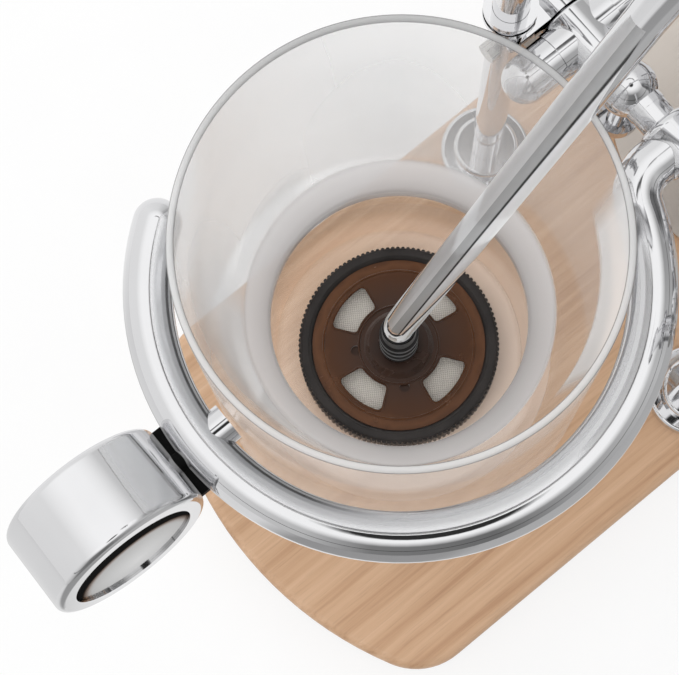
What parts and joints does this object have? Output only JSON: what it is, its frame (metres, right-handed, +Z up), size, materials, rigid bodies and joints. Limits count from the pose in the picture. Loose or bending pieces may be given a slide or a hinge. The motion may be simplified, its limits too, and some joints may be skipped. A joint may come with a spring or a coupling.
{
  "type": "siphon coffee maker",
  "caption": "Balance siphon coffee maker: a kettle and a counterweight on a rocking beam, and a double-walled glass with a filter on a siphon tube, all on a wooden base.",
  "frame": {"origin": "on the table, under the middle of the base", "axes": "+X from the glass to the kettle along the base, +Y to the far side, +Z up"},
  "size_m": [0.2852, 0.1203, 0.2325],
  "materials": {
    "wood": "light beech with a satin varnish",
    "pad": "matt",
    "glass": "clear, polished",
    "chrome": "polished plating",
    "steel": "fine brushed",
    "rubber": "matt black",
    "black_plastic": "matt, finely toothed",
    "brown_plastic": "dark brown, slightly see-through",
    "cloth": "woven cotton",
    "brass": "satin"
  },
  "bodies": {
    "base": {"base_board": "wood", "base_pad": "pad", "heat_plate": "steel", "post_screws": "steel", "clamp_screws": "steel", "glass_cup": "glass", "glass_jacket": "glass", "post_foot_far": "chrome", "post_foot_near": "chrome", "post_far": "chrome", "post_near": "chrome", "post_collar_far": "chrome", "post_collar_near": "chrome", "post_finial_far": "chrome", "post_finial_near": "chrome", "bearing_far": "chrome", "bearing_near": "chrome"},
    "beam": {"axle": "chrome", "hub": "chrome", "kettle_ring": "chrome", "kettle_body": "chrome", "kettle_bead": "chrome", "kettle_cover": "chrome", "ring_arm": "chrome", "counter_drum": "chrome", "drum_discs": "steel", "drum_stud": "chrome", "drum_gasket": "rubber", "spacer_far": "chrome", "spacer_near": "chrome", "knuckle_far": "chrome", "knuckle_near": "chrome", "bob_far": "chrome", "bob_near": "chrome", "sleeve_far": "chrome", "sleeve_near": "chrome", "yoke_rod_far": "chrome", "yoke_rod_near": "chrome", "cap_nut_far": "chrome", "cap_nut_near": "chrome"},
    "siphon": {"siphon_tube": "chrome", "kettle_stopper": "rubber", "stopper_nut": "steel", "filter_sleeve": "rubber", "filter_cover": "brown_plastic", "filter_rim": "black_plastic", "filter_mesh": "cloth", "filter_screen": "brown_plastic"},
    "filler": {"filler_cap": "chrome", "filler_knob": "rubber", "filler_seal": "rubber"},
    "burner": {"burner_pot": "chrome", "burner_lid": "chrome", "wick_tube": "brass", "wick": "cloth", "snuffer_pin": "steel"},
    "snuffer": {"snuffer": "chrome"}
  },
  "joints": [
    {"name": "beam_tilt", "type": "hinge", "parent": "base", "child": "beam", "pos_m": [0.007, 0, 0.11], "axis": [0, 1, 0], "range_deg": [0, 2.8]},
    {"name": "siphon_lift", "type": "slide", "parent": "beam", "child": "siphon", "axis": [0, 0, 1], "range_m": [0, 0.13]},
    {"name": "filler_cap_lift", "type": "slide", "parent": "beam", "child": "filler", "axis": [0, 0, 1], "range_m": [0, 0.02]},
    {"name": "burner_slide", "type": "slide", "parent": "base", "child": "burner", "axis": [1, 0, 0], "range_m": [0, 0.06]},
    {"name": "snuffer_hinge", "type": "hinge", "parent": "burner", "child": "snuffer", "pos_m": [0.07751, 0, 0.0509], "axis": [0, 1, 0], "range_deg": [0, 100]}
  ]
}
